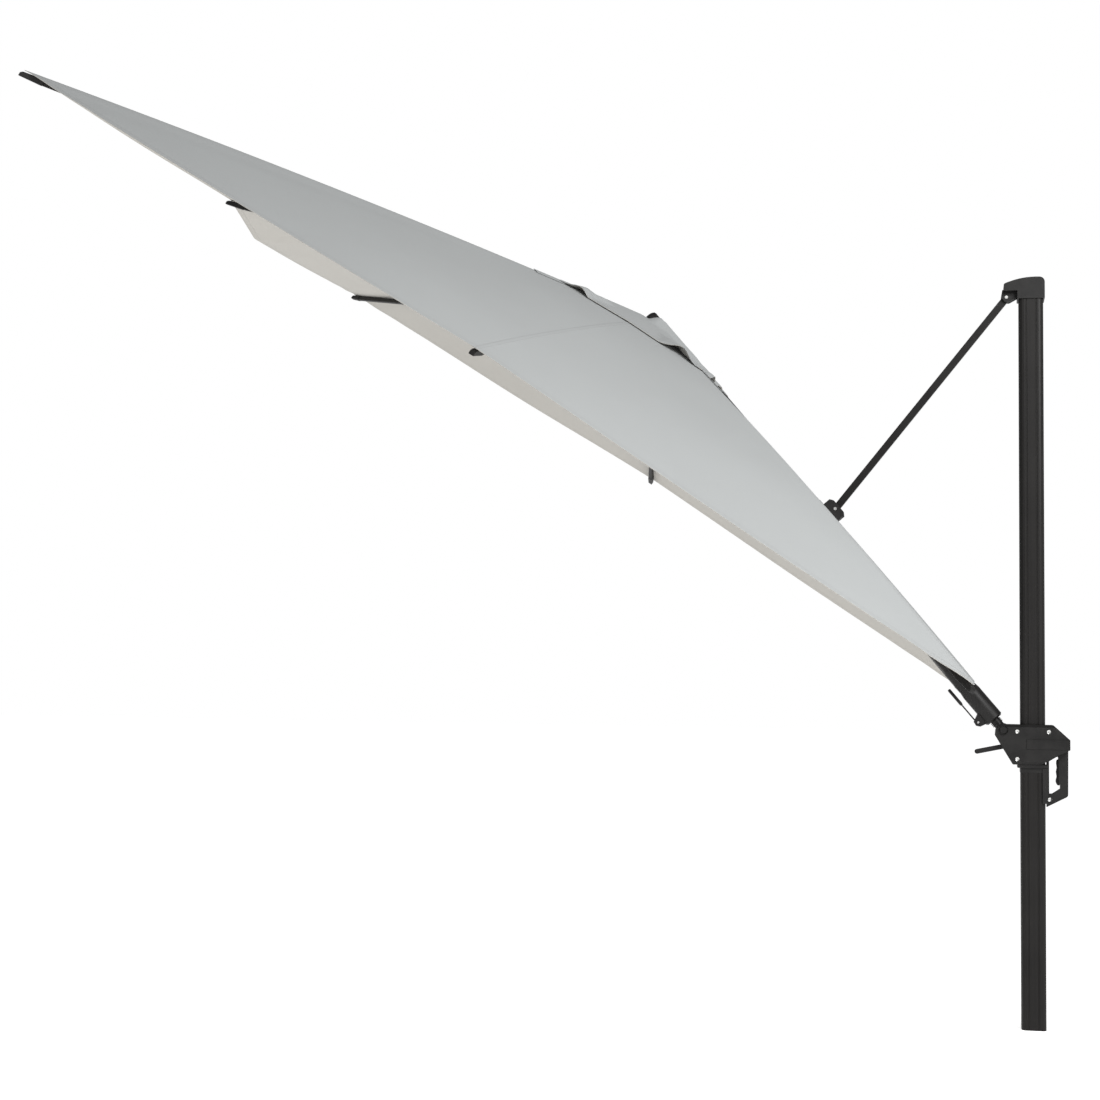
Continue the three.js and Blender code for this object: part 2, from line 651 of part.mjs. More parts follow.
// a closed sheet: a box of cells whose corners are moved to where the sheet lies
function sheet(cellsOut, cellsRound, place) {
  const geometry = new THREE.BoxGeometry(1, 1, 1, cellsOut, cellsRound, 1);
  const position = geometry.attributes.position;
  for (let index = 0; index < position.count; index += 1) {
    const out = position.getX(index) + 0.5;
    const round = position.getY(index) + 0.5;
    const point = place(out, round);
    position.setXYZ(index, point[0], point[1], point[2] + (position.getZ(index) - 0.5) * CANOPY.sheet);
  }
  return geometry;
}

// a point of the square rim in a direction
function rimPoint(degrees) {
  const c = Math.cos(degrees * DEG);
  const s = Math.sin(degrees * DEG);
  const reach = CANOPY.half / Math.max(Math.abs(c), Math.abs(s));
  return [reach * c, reach * s];
}

const HALF_PANEL = 22.5; // degrees to each side of a rib
const SHEET_START = 0.075; // how far out the sheets begin, of the way to the rim
const SLIT_SIDE = { 135: 1, 225: -1 }; // which panels lie beside the boom

function canopyPoint(fraction, degrees) {
  const [x, y] = rimPoint(degrees);
  const fromMiddle = Math.abs(((degrees + 45) % 90) - 45);
  const nearMiddle = Math.max(0, 1 - fromMiddle / HALF_PANEL);
  const height = sheetHeight(fraction) + CANOPY.middleLift * fraction * nearMiddle + CANOPY.sheet;
  return [x * fraction, y * fraction, height];
}

// a point of the panel that lies over a rib, half-way round to its neighbours
function panelPoint(degrees, fraction, round) {
  const halfSpan = HALF_PANEL - GAP / (CANOPY.half * fraction) / DEG;
  return canopyPoint(fraction, degrees + halfSpan * (2 * round - 1));
}

// beside the boom a panel runs on from its rib to the slit
function slitPanelPoint(degrees, fraction, round, side) {
  const across = side > 0 ? round : 1 - round;
  const ribShare = 0.25;
  if (across <= ribShare) {
    const half = across / ribShare / 2;
    return panelPoint(degrees, fraction, side > 0 ? half : 1 - half);
  }
  const edge = CANOPY.half * fraction;
  const y = edge + ((CANOPY.slit - edge) * (across - ribShare)) / (1 - ribShare);
  return [-edge, y * side, sheetHeight(fraction) + CANOPY.sheet];
}

function buildSheet(degrees, number) {
  const side = SLIT_SIDE[degrees] ?? 0;
  const place = (out, round) => {
    const fraction = SHEET_START + (1 - SHEET_START) * out;
    return side ? slitPanelPoint(degrees, fraction, round, side) : panelPoint(degrees, fraction, round);
  };
  add(canopyFrame, `canopy_panel_${number}`, FABRIC(), sheet(8, side ? 8 : 4, place));
}

// how high the small upper tier stands: over the sheet, and over the boom on the boom's side
function ventHeight(px, py, fraction, out) {
  const boomSlope = Math.tan((BOOM_ANGLE - CANOPY_ANGLE) * DEG);
  const overBoom = CANOPY.apex + Math.min(px, 0) * boomSlope + VENT.overBoom;
  const beside = Math.max(0, 1 - Math.abs(py) / VENT.boomHalf);
  const plain = sheetHeight(fraction) + VENT.lift + CANOPY.sheet;
  const rise = px < 0 ? Math.max(0, overBoom - plain) : (overBoom - plain) * (1 - out);
  return plain + rise * beside;
}

function ventPoint(out, round) {
  const inner = VENT.hole / CANOPY.half;
  const fraction = inner + (VENT.half / CANOPY.half - inner) * out;
  const [x, y] = rimPoint(360 * round);
  const px = x * fraction;
  const py = y * fraction;
  return [px, py, ventHeight(px, py, fraction, out)];
}

// a ring turned from a closed strip, then moved to where the tier lies
function buildVent() {
  const strip = [];
  for (let cell = 0; cell <= VENT.cells; cell += 1) strip.push(new THREE.Vector2(1 + cell / VENT.cells, 0));
  for (let cell = VENT.cells; cell >= 0; cell -= 1) strip.push(new THREE.Vector2(1 + cell / VENT.cells, 1));
  strip.push(strip[0].clone());
  const ring = new THREE.LatheGeometry(strip, VENT.sides).rotateX(Math.PI / 2);
  const position = ring.attributes.position;
  for (let index = 0; index < position.count; index += 1) {
    const x = position.getX(index);
    const y = position.getY(index);
    const point = ventPoint(Math.hypot(x, y) - 1, Math.atan2(y, x) / (2 * Math.PI));
    position.setXYZ(index, point[0], point[1], point[2] + position.getZ(index) * CANOPY.sheet);
  }
  add(canopyFrame, 'vent_flap', FABRIC(), ring);
}

// ---------------------------------------------------------------- assembly

buildMast();
buildCap();
buildStrut();
buildBracket();
buildKnuckle();
buildBoom();
buildRollLever();
buildSlider();
buildHandle();
buildTrigger();
buildBush();
buildTravelLever();
buildHubs();
RIB_ANGLES.forEach((degrees, index) => {
  buildRib(degrees, index + 1);
  buildSheet(degrees, index + 1);
});
buildVent();

export default parasol;
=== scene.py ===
# %% [markdown]
# # A cantilever parasol
# This lesson dresses a parasol whose frame already exists as an exact model. The mast stands at the origin,
# the boom leans away from it along -X, and a square canopy of three metres hangs from the boom's end.
# Everything is in metres. The frame says where each part is and what it moves with, and we add what a frame
# cannot show: cloth that sags, edges that are rounded, and surfaces that look like paint, plastic and steel.

# %% Load the frame
import json
import math

import bmesh
import bpy
from mathutils import Matrix, Vector, noise


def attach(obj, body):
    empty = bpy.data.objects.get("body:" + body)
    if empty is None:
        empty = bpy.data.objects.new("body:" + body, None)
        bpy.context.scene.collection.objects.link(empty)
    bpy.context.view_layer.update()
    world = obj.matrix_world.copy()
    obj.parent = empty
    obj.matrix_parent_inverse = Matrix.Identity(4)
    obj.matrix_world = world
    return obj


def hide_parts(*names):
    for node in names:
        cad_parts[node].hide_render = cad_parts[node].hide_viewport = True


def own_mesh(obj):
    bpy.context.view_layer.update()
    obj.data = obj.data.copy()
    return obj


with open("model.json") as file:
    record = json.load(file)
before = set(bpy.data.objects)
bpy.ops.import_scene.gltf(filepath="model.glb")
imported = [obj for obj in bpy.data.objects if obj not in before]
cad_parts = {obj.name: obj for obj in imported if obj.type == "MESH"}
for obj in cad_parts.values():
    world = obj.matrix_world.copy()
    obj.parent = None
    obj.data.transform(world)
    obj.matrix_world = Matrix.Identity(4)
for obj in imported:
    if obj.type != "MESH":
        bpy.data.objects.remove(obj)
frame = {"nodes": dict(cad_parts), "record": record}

nodes = frame["nodes"]
scene = bpy.context.scene
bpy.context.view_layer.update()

# %% [markdown]
# ## Camera, floor and light
# The parasol is seen from its near side, from chest height and slightly from the mast's end, so the near half of
# the canopy shows its top and the far half shows its underside. A camera is placed by a turn about the vertical,
# a tilt and a small roll. Building its matrix from those three angles keeps each of them easy to change.

# %% Place the camera
CAMERA_AT = Vector((-0.2414, -6.2816, 1.0021))
CAMERA_TURN = math.radians(-11.715)
CAMERA_TILT = math.radians(4.284)
CAMERA_ROLL = math.radians(-0.809)
SENSOR = 36.0
LENS = SENSOR * 1.7727


def add_camera():
    ahead = Vector((math.sin(CAMERA_TURN), math.cos(CAMERA_TURN), math.tan(CAMERA_TILT))).normalized()
    level = Vector((math.cos(CAMERA_TURN), -math.sin(CAMERA_TURN), 0))
    down = ahead.cross(level)
    right = level * math.cos(CAMERA_ROLL) + down * math.sin(CAMERA_ROLL)
    up = level * math.sin(CAMERA_ROLL) - down * math.cos(CAMERA_ROLL)
    camera = bpy.data.objects.new("camera", bpy.data.cameras.new("camera"))
    camera.data.sensor_width = SENSOR
    camera.data.lens = LENS
    turn = Matrix((right, up, -ahead)).transposed()
    camera.matrix_world = Matrix.Translation(CAMERA_AT) @ turn.to_4x4()
    scene.collection.objects.link(camera)
    scene.camera = camera
    return camera


camera = add_camera()
print("camera", [round(v, 2) for v in camera.location], "lens", round(LENS, 1), "mm")

# %% [markdown]
# A studio is a bright room with one or two large lamps. Large lamps give soft shadows, and the lamp on the mast's
# side makes the lower end of the canopy brighter than its high outer corner. The room itself is even and white.

# %% Lay the floor and hang the lamps
ROOM_LIGHT = 0.38
FLOOR_SIZE = 60


def link(name, data):
    thing = bpy.data.objects.new(name, data)
    scene.collection.objects.link(thing)
    return thing


def mesh_from(name, bm):
    mesh = bpy.data.meshes.new(name)
    bm.to_mesh(mesh)
    bm.free()
    return link(name, mesh)


def add_floor():
    bm = bmesh.new()
    bmesh.ops.create_grid(bm, x_segments=1, y_segments=1, size=FLOOR_SIZE)
    floor = mesh_from("floor", bm)
    paint = bpy.data.materials.new("floor_paint")
    paint.use_nodes = True
    shader = paint.node_tree.nodes["Principled BSDF"]
    shader.inputs["Base Color"].default_value = (0.9, 0.9, 0.9, 1)
    shader.inputs["Roughness"].default_value = 0.9
    shader.inputs["Specular IOR Level"].default_value = 0.1
    shader.inputs["Emission Color"].default_value = (1, 1, 1, 1)
    shader.inputs["Emission Strength"].default_value = 0.72
    floor.data.materials.append(paint)


def add_lamp(name, at, toward, size, power):
    lamp = link(name, bpy.data.lights.new(name, "AREA"))
    lamp.data.shape = "SQUARE"
    lamp.data.size = size
    lamp.data.energy = power
    lamp.matrix_world = Matrix.Translation(at) @ (toward - at).to_track_quat("-Z", "Y").to_matrix().to_4x4()
    return lamp


def light_room():
    world = bpy.data.worlds.new("room")
    world.use_nodes = True
    tree = world.node_tree
    path = tree.nodes.new("ShaderNodeLightPath")
    seen = tree.nodes.new("ShaderNodeMapRange")
    seen.inputs["To Min"].default_value = ROOM_LIGHT
    tree.links.new(path.outputs["Is Camera Ray"], seen.inputs["Value"])
    room = tree.nodes["Background"]
    room.inputs["Color"].default_value = (1, 1, 1, 1)
    tree.links.new(seen.outputs["Result"], room.inputs["Strength"])
    scene.world = world


add_floor()
light_room()
add_lamp("mast_side_lamp", Vector((1.7, -3.3, 3.4)), Vector((-0.5, -0.9, 1.4)), 1.6, 165)
add_lamp("front_lamp", Vector((-2.5, -7.0, 4.5)), Vector((-1.0, 0, 1.8)), 4.0, 22)
scene.view_settings.view_transform = "Standard"

# %% [markdown]
# ## Shader sums
# A finish is a tree of nodes. Written out node by node it is hard to read, so a socket is wrapped in a class
# that adds, multiplies and divides like a number, and each sign makes the Math node it stands for. Colours
# mix through their own node, because a Math node would turn them grey.


# %% Wrap a socket
class Reading:
    def __init__(self, finish, socket):
        self.finish = finish
        self.socket = socket

    def sum(self, operation, *others):
        values = dict(enumerate((self,) + others))
        return self.finish.node("Math", {"operation": operation}, values)

    def __add__(self, other):
        return self.sum("ADD", other)

    def __sub__(self, other):
        return self.sum("SUBTRACT", other)

    def __mul__(self, other):
        return self.sum("MULTIPLY", other)

    def __truediv__(self, other):
        return self.sum("DIVIDE", other)

    def __rsub__(self, other):
        return self * -1 + other

    def __abs__(self):
        return self.sum("ABSOLUTE")

    def __mod__(self, other):
        return self.sum("FLOORED_MODULO", other)

    __radd__ = __add__
    __rmul__ = __mul__


# %% [markdown]
# A finish starts from the Principled shader. What is the same all over is set on the shader's own socket, and
# what changes over the surface is linked to it. One method adds any node: its type, its settings, then the
# values or links of its sockets.


# %% Describe a finish
class Finish:
    def __init__(self, name, **constants):
        self.material = bpy.data.materials.new(name)
        self.material.use_nodes = True
        self.tree = self.material.node_tree
        self.shader = self.tree.nodes["Principled BSDF"]
        for socket, value in constants.items():
            self.shader.inputs[socket.replace("_", " ")].default_value = value

    def node(self, kind, settings=None, values=None, output=0):
        node = self.tree.nodes.new("ShaderNode" + kind)
        for name, value in (settings or {}).items():
            setattr(node, name, value)
        for key, value in (values or {}).items():
            self.feed(node.inputs[key], value)
        return Reading(self, node.outputs[output])

    def feed(self, socket, value):
        if isinstance(value, Reading):
            self.tree.links.new(value.socket, socket)
        else:
            socket.default_value = value

    def link(self, socket, value):
        self.feed(self.shader.inputs[socket], value)

    def place(self):
        return self.node("TexCoord", output="Object")

    def stretch(self, place, scale):
        return self.node("Mapping", None, {"Vector": place, "Scale": scale})

    def grain(self, place, scale, detail=2, roughness=0.5):
        values = {"Vector": place, "Scale": scale, "Detail": detail, "Roughness": roughness}
        return self.node("TexNoise", None, values)

    def band(self, value, low, high):
        settings = {"interpolation_type": "SMOOTHSTEP"}
        return self.node("MapRange", settings, {"Value": value, "From Min": low, "From Max": high})

    def spread(self, value, low, high):
        return self.node("MapRange", None, {"Value": value, "To Min": low, "To Max": high})

    def mix(self, share, first, second):
        return self.node("Mix", {"data_type": "RGBA"}, {0: share, 6: first, 7: second}, 2)

    def emboss(self, height, strength=1.0):
        self.link("Normal", self.node("Bump", None, {"Height": height, "Strength": strength, "Distance": 0.001}))


def tint(red, green, blue):
    return (red, green, blue, 1)


print("sums and finishes ready")

# %% [markdown]
# ## Painted metal
# The mast, the strut, the boom and the ribs are aluminium with an anthracite powder coat. Baked powder never lies
# quite flat: it has a fine orange-peel skin and a slightly uneven sheen. An extruded tube also keeps faint draw
# lines along its length, which show through the paint. A noise stretched along the tube makes those lines.

# %% Mix the powder coats
POWDER_DARK = tint(0.0075, 0.0068, 0.0064)
POWDER_LIGHT = tint(0.014, 0.013, 0.0124)


def powder_coat(name, lines, sheen):
    finish = Finish(name, Metallic=0.0, Specular_IOR_Level=0.19)
    place = finish.place()
    skin = finish.grain(place, 420, 3)
    speck = finish.grain(place, 1500, 1)
    drawn = finish.grain(finish.stretch(place, lines), 1, 3)
    cloud = finish.grain(place, 7, 2)
    tone = finish.spread(drawn * 0.5 + cloud * 0.5, -0.6, 1.6)
    finish.link("Base Color", finish.mix(tone, POWDER_DARK, POWDER_LIGHT))
    finish.link("Roughness", finish.spread(cloud * 0.5 + speck * 0.5, sheen - 0.12, sheen + 0.12))
    finish.emboss(skin * 0.09 + speck * 0.04 + drawn * 0.02)
    return finish.material


mast_coat = powder_coat("mast_powder_coat", (260, 260, 2.0), 0.46)
frame_coat = powder_coat("frame_powder_coat", (60, 60, 60), 0.42)
rib_coat = powder_coat("rib_powder_coat", (90, 90, 90), 0.5)
print("powder coats:", mast_coat.name, frame_coat.name, rib_coat.name)

# %% [markdown]
# ## Moulded plastic
# The housings, the handle and the rib ends are glass-filled nylon. Their mould is etched, so they have a fine
# pebbled grain, and hands leave slightly smoother patches. A cell pattern gives the pebbles, a slow noise gives
# the patches, and a few pale hair scratches break the evenness.

# %% Mix the plastics
NYLON_DARK = tint(0.006, 0.0056, 0.0054)
NYLON_LIGHT = tint(0.0115, 0.0108, 0.0104)
SCRATCH = tint(0.035, 0.034, 0.033)


def moulded_plastic(name, pebble, sheen):
    finish = Finish(name, Metallic=0.0, Specular_IOR_Level=0.26)
    place = finish.place()
    cells = finish.node("TexVoronoi", {"feature": "SMOOTH_F1"}, {"Vector": place, "Scale": pebble})
    patches = finish.grain(place, 22, 3)
    fine = finish.grain(place, 2400, 1)
    hairs = finish.grain(finish.stretch(place, (40, 260, 900)), 1, 4, 0.7)
    scratched = finish.band(hairs, 0.70, 0.76) * finish.band(patches, 0.5, 0.7)
    tone = finish.mix(finish.band(patches, 0.3, 0.7), NYLON_DARK, NYLON_LIGHT)
    finish.link("Base Color", finish.mix(scratched * 0.7, tone, SCRATCH))
    finish.link("Roughness", finish.spread(patches, sheen - 0.1, sheen + 0.12))
    finish.emboss(cells * 0.07 + fine * 0.02 - scratched * 0.02)
    return finish.material


housing_plastic = moulded_plastic("housing_nylon", 1100, 0.46)
grip_plastic = moulded_plastic("grip_nylon", 800, 0.52)
rib_plastic = moulded_plastic("rib_end_nylon", 1300, 0.5)
print("plastics:", housing_plastic.name, grip_plastic.name, rib_plastic.name)

# %% [markdown]
# ## Bright steel
# The screws and pins are zinc-plated steel. Plating is bright but slightly milky, with fine turning marks round
# each head. The marks come from a noise stretched across the screw's axis, which runs along Y.

# %% Mix the steel


def plated_steel(name):
    finish = Finish(name, Metallic=1.0)
    place = finish.place()
    turned = finish.grain(finish.stretch(place, (900, 60, 900)), 1, 2)
    milk = finish.grain(place, 300, 2)
    finish.link("Base Color", finish.mix(milk, tint(0.5, 0.5, 0.49), tint(0.8, 0.8, 0.78)))
    finish.link("Roughness", finish.spread(turned, 0.2, 0.42))
    finish.emboss(turned * 0.02)
    return finish.material


bright_steel = plated_steel("zinc_steel")
print("steel:", bright_steel.name)

# %% [markdown]
# ## Canopy cloth
# The canopy is woven polyester, pale grey on top and with a warmer coating below. The underside is also painted
# lighter
# than the top: painted light that stands for the light shining through the cloth. Three scales matter: the weave
# of about half a millimetre, slubs that run along the threads, and a slow unevenness where the cloth is pulled.
# Seams run along the ribs and a doubled hem runs round the edge, both with two rows of stitches. Each panel
# carries two maps in metres: cloth (along the rib, across it) and hem (along the edge, in from it).

# %% Weave the cloth
THREAD = 0.0006
SEAM_HALF = 0.008
HEM_WIDE = 0.024
STITCH = 0.0042


def stitches(finish, along, across, rows):
    dash = finish.band(abs(along % STITCH - STITCH / 2), STITCH * 0.36, STITCH * 0.26)
    total = None
    for row in rows:
        line = finish.band(abs(across - row), 0.0009, 0.0004) * dash
        total = line if total is None else total + line
    return total


def woven(finish, along, across):
    warp = abs((across / THREAD).sum("PINGPONG", 1) - 0.5)
    weft = abs((along / THREAD).sum("PINGPONG", 1) - 0.5)
    over = (along / THREAD).sum("FLOOR") + (across / THREAD).sum("FLOOR")
    turn = over % 2
    return (0.5 - warp) * turn + (0.5 - weft) * (1 - turn)


def split_map(finish, name):
    reading = finish.node("UVMap", {"uv_map": name})
    parts = finish.node("SeparateXYZ", None, {0: reading})
    node = parts.socket.node
    return reading, Reading(finish, node.outputs[0]), Reading(finish, node.outputs[1])


def canopy_cloth(name, dark, light, thread_shade):
    finish = Finish(name, Metallic=0.0, Specular_IOR_Level=0.15, Sheen_Weight=0.12, Sheen_Roughness=0.5)
    cloth, along, across = split_map(finish, "cloth")
    hem, round_edge, inward = split_map(finish, "hem")
    slub = finish.grain(finish.stretch(cloth, (12, 900, 1)), 1, 2) * 0.5
    slub = slub + finish.grain(finish.stretch(cloth, (900, 12, 1)), 1, 2) * 0.5
    cloud = finish.grain(cloth, 2.2, 3)
    on_seam = finish.band(abs(across), SEAM_HALF, SEAM_HALF - 0.001)
    on_hem = finish.band(inward, HEM_WIDE, HEM_WIDE - 0.001)
    sewn = stitches(finish, along, abs(across), (SEAM_HALF - 0.003,))
    sewn = sewn + stitches(finish, round_edge, inward, (HEM_WIDE - 0.003, 0.004))
    tone = finish.mix(cloud * 0.6 + slub * 0.4, dark, light)
    doubled = finish.mix((on_seam + on_hem) * 0.18, tone, dark)
    finish.link("Base Color", finish.mix(sewn * 0.6, doubled, thread_shade))
    finish.link("Roughness", finish.spread(cloud, 0.78, 0.95))
    pucker = finish.grain(finish.stretch(hem, (90, 25, 1)), 1, 2) * on_hem
    weave = woven(finish, along, across)
    finish.emboss(weave * 0.12 + slub * 0.1 + (on_seam + on_hem) * 0.7 + pucker * 0.8 - sewn * 0.35, 0.8)
    return finish.material


top_cloth = canopy_cloth("canopy_weave", tint(0.335, 0.345, 0.345), tint(0.385, 0.4, 0.4), tint(0.25, 0.25, 0.25))
# Painted light: the coated underside's warmer grey is set lighter than the top's, standing for light that shines
# through the cloth.
coated_under_cloth_painted_light = canopy_cloth("canopy_coating_painted_light", tint(0.42, 0.405, 0.375), tint(0.5, 0.485, 0.45), tint(0.3, 0.29, 0.27))
print("cloth:", top_cloth.name, coated_under_cloth_painted_light.name)

# %% [markdown]
# ## Finishes for the frame
# The frame's parts are grouped by the record's material slots, so one table gives every part its finish. Parts
# with a good shape are kept as they are.

# %% Give every frame part its finish
FINISH = {
    "canopy_fabric": top_cloth,
    "mast_coat": mast_coat,
    "frame_coat": frame_coat,
    "rib_coat": rib_coat,
    "rib_plastic": rib_plastic,
    "grip_plastic": grip_plastic,
    "bright_steel": bright_steel,
    "housing_plastic": housing_plastic,
}
slot_of = {part["node"]: part["material_slot"] for part in frame["record"]["subparts"]}
for name, thing in nodes.items():
    for place in thing.material_slots:
        place.material = FINISH[slot_of[name]]
print({slot: sum(value == slot for value in slot_of.values()) for slot in FINISH})

# %% [markdown]
# ## Rounded edges
# Nothing moulded or cast has a knife edge: the small radius along each edge catches the light, and it is what makes
# a part look real. For each such part a copy of the frame's mesh is merged, its flat faces are joined, and its
# corners are bevelled. Weighted normals keep the flat faces flat, so only the edges curve the light.


# %% Round the edges of a part
def body_of(name):
    return next(body for body, members in frame["record"]["behaviour"]["bodies"].items() if name in members)


def finish_piece(thing, body, slot, *replaced):
    mesh = thing.data
    for face in mesh.polygons:
        face.use_smooth = True
    mesh.set_sharp_from_angle(angle=math.radians(38))
    if not mesh.materials:
        mesh.materials.append(FINISH[slot])
    weighted = thing.modifiers.new("weighted", "WEIGHTED_NORMAL")
    weighted.keep_sharp = True
    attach(thing, body)
    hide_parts(*replaced)
    return thing


def merged_copy(name):
    bm = bmesh.new()
    bm.from_mesh(nodes[name].data)
    bmesh.ops.remove_doubles(bm, verts=bm.verts, dist=0.00002)
    bmesh.ops.dissolve_limit(bm, angle_limit=math.radians(1.5), verts=bm.verts, edges=bm.edges)
    return bm


def sharp_edges(bm, corner=28):
    return [edge for edge in bm.edges if edge.is_manifold and edge.calc_face_angle() > math.radians(corner)]


def round_edges(bm, edges, radius, segments=2):
    bmesh.ops.bevel(
        bm, geom=edges, offset=radius, offset_type="OFFSET", segments=segments, profile=0.5,
        affect="EDGES", clamp_overlap=True, material=-1)


def rounded_copy(name, radius):
    bm = merged_copy(name)
    round_edges(bm, sharp_edges(bm), radius)
    thing = mesh_from(name + "_finished", bm)
    return finish_piece(thing, body_of(name), slot_of[name], name)


ROUNDED = {
    "mast_cap": 0.002, "strut_bar": 0.0015, "strut_bracket": 0.0015, "boom_knuckle": 0.0015,
    "boom_sleeve": 0.0015, "boom_collar": 0.001, "boom_end_cap": 0.002, "slider_band": 0.0008,
    "slider_handle": 0.0025, "release_trigger": 0.001, "travel_lock_lever": 0.002,
    "roll_lever_rod": 0.0008, "roll_lever_grip": 0.0008, "canopy_hub": 0.002, "canopy_runner": 0.002,
}
for name, radius in ROUNDED.items():
    rounded_copy(name, radius)
for number in range(1, 8):
    rounded_copy(f"rib_{number}", 0.002)
    rounded_copy(f"rib_tip_{number}", 0.0015)
    rounded_copy(f"stretcher_{number}", 0.0015)
print(len(ROUNDED) + 21, "parts with rounded edges")

# %% [markdown]
# The two housing shells are moulded with a much softer shoulder than a cast part, so their long outer edges get a
# wide radius first and every other edge a small one. The foot bolt's caps are dished and each screw has a round
# socket: an inset of the outer face, pushed inward, makes both.


# %% Soften the housing and dish the caps
def shoulder_edges(bm):
    outer = [edge for edge in sharp_edges(bm) if min(abs(vert.co.y) for vert in edge.verts) > 0.043]
    return [edge for edge in outer if edge.calc_length() > 0.02]


def soft_shell(name):
    bm = merged_copy(name)
    round_edges(bm, shoulder_edges(bm), 0.006, 5)
    round_edges(bm, sharp_edges(bm, 40), 0.001)
    thing = mesh_from(name + "_finished", bm)
    return finish_piece(thing, body_of(name), slot_of[name], name)


def dished_copy(name, side, rim, deep, radius):
    bm = merged_copy(name)
    facing = [face for face in bm.faces if face.normal.y * side > 0.9]
    outer = max(facing, key=lambda face: face.calc_center_median().y * side)
    bmesh.ops.inset_region(bm, faces=[outer], thickness=rim, depth=-deep)
    round_edges(bm, sharp_edges(bm), radius)
    thing = mesh_from(name + "_finished", bm)
    return finish_piece(thing, body_of(name), slot_of[name], name)


soft_shell("slider_shell_near")
soft_shell("slider_shell_far")
dished_copy("foot_bolt_near", -1, 0.003, 0.0045, 0.0008)
dished_copy("foot_bolt_far", 1, 0.003, 0.0045, 0.0008)
for name in ("slider_screw_1", "slider_screw_2", "slider_screw_3", "handle_screw"):
    dished_copy(name, -1, 0.0028, 0.0018, 0.0004)
print("two shells softened, two caps and four screws dished")

# %% [markdown]
# ## The canopy's shape
# The canopy is a shallow pyramid with a slightly domed back, pulled over seven ribs and tilted 33 degrees. Its
# middle is under the boom's end. The shape is written once, as a height over the rim's plane, and every panel reads
# it, so neighbouring panels meet and their shading runs on. Between two ribs the cloth hangs a little lower.

# %% Describe the canopy
HALF = 1.5
APEX = 0.45
BOW = 0.064
CLOTH_RISE = 0.003
MIDDLE_LIFT = 0.030
GORE_SAG = 0.004
SLIT = 0.048
INNER = 0.075
CANOPY_TILT = math.radians(33)
BOOM_TILT = math.radians(49.7)
RIB_ANGLES = (0, 45, 90, 135, 225, 270, 315)

boom_along = Vector((-math.cos(BOOM_TILT), 0, math.sin(BOOM_TILT)))
boom_foot = Vector((-0.089, 0, 0.917))
canopy_apex = boom_foot + boom_along * 1.728
out_axis = Vector((-math.cos(CANOPY_TILT), 0, math.sin(CANOPY_TILT)))
near_axis = Vector((0, -1, 0))
up_axis = Vector((math.sin(CANOPY_TILT), 0, math.cos(CANOPY_TILT)))
rim_centre = canopy_apex - up_axis * APEX


def in_world(out, near, height):
    return rim_centre + out_axis * out + near_axis * near + up_axis * height


def plain_height(share):
    return APEX * (1 - share) + BOW * share * (1 - share)


def smooth(value, low, high):
    t = min(max((value - low) / (high - low), 0), 1)
    return t * t * (3 - 2 * t)


# %% [markdown]
# The edge is not quite even. On the outer side, between the middle rib and the far corner, it droops by about
# six centimetres and makes a soft fold. Tight cloth also shows faint pulls that run out to each corner.


# %% Add the droop and the pulls
DROOP = 0.058
DROOP_AT = 0.34


def droop(out, near):
    if out < 0.6 * HALF or near > 0:
        return 0
    away = -near
    if away < DROOP_AT:
        reach = away / DROOP_AT
    else:
        reach = (HALF - away) / (HALF - DROOP_AT)
    return DROOP * max(reach, 0) * smooth(out / HALF, 0.72, 1.0)


def pulls(out, near, share, gore):
    corner = smooth(gore, 0.55, 0.95)
    across = (1 - gore) * HALF * share
    ridge = math.sin(across * 38) * math.exp(-across * 7) * 0.0022 * corner * smooth(share, 0.1, 0.5)
    drift = noise.noise(Vector((out * 1.7, near * 1.7, 3.1))) * 0.0035 * smooth(share, 0.1, 0.6)
    return ridge + drift * math.sin(math.pi * min(gore, 1))


def canopy_height(out, near):
    share = max(abs(out), abs(near)) / HALF
    gore = min(abs(out), abs(near)) / max(abs(out), abs(near), 0.001)
    lift = MIDDLE_LIFT * share * (1 - gore)
    sag = GORE_SAG * share * math.sin(math.pi * gore) ** 2
    return plain_height(share) + lift - sag - droop(out, near) + pulls(out, near, share, gore) + CLOTH_RISE


print("rim at", round(canopy_height(HALF, 0), 3), "apex at", round(canopy_height(0.01, 0), 3))

# %% [markdown]
# ## The panels
# Each panel is a fine grid that is warped onto the shape, from the hub to the edge and half-way to each neighbour.
# The two panels beside the boom run on to the slit that the boom lies in. A grid bends smoothly, and its rows give
# the maps for the seam and the hem. Solidify then gives the cloth its thickness, with the coated side below, which
# is painted lighter as painted light shining through the cloth.

# %% Warp a grid into a panel
CELLS_OUT = 96
CELLS_ROUND = 72
CLOTH_THICK = 0.0014


def rim_point(angle):
    x = math.cos(angle)
    y = math.sin(angle)
    reach = HALF / max(abs(x), abs(y))
    return Vector((reach * x, reach * y))


def panel_spot(angle, step_out, step_round):
    share = INNER + (1 - INNER) * step_out
    beside = {135: 1, 225: -1}.get(round(math.degrees(angle)), 0)
    if not beside:
        spot = rim_point(angle + math.radians(22.5) * (2 * step_round - 1)) * share
        return spot, HALF * (1 - share)
    across = step_round if beside > 0 else 1 - step_round
    if across <= 0.25:
        spot = rim_point(angle + beside * math.radians(22.5) * (across * 4 - 1)) * share
        return spot, HALF * (1 - share)
    edge = HALF * share
    near = edge + (SLIT - edge) * (across - 0.25) / 0.75
    return Vector((-edge, near * beside)), min(HALF - edge, near - SLIT)


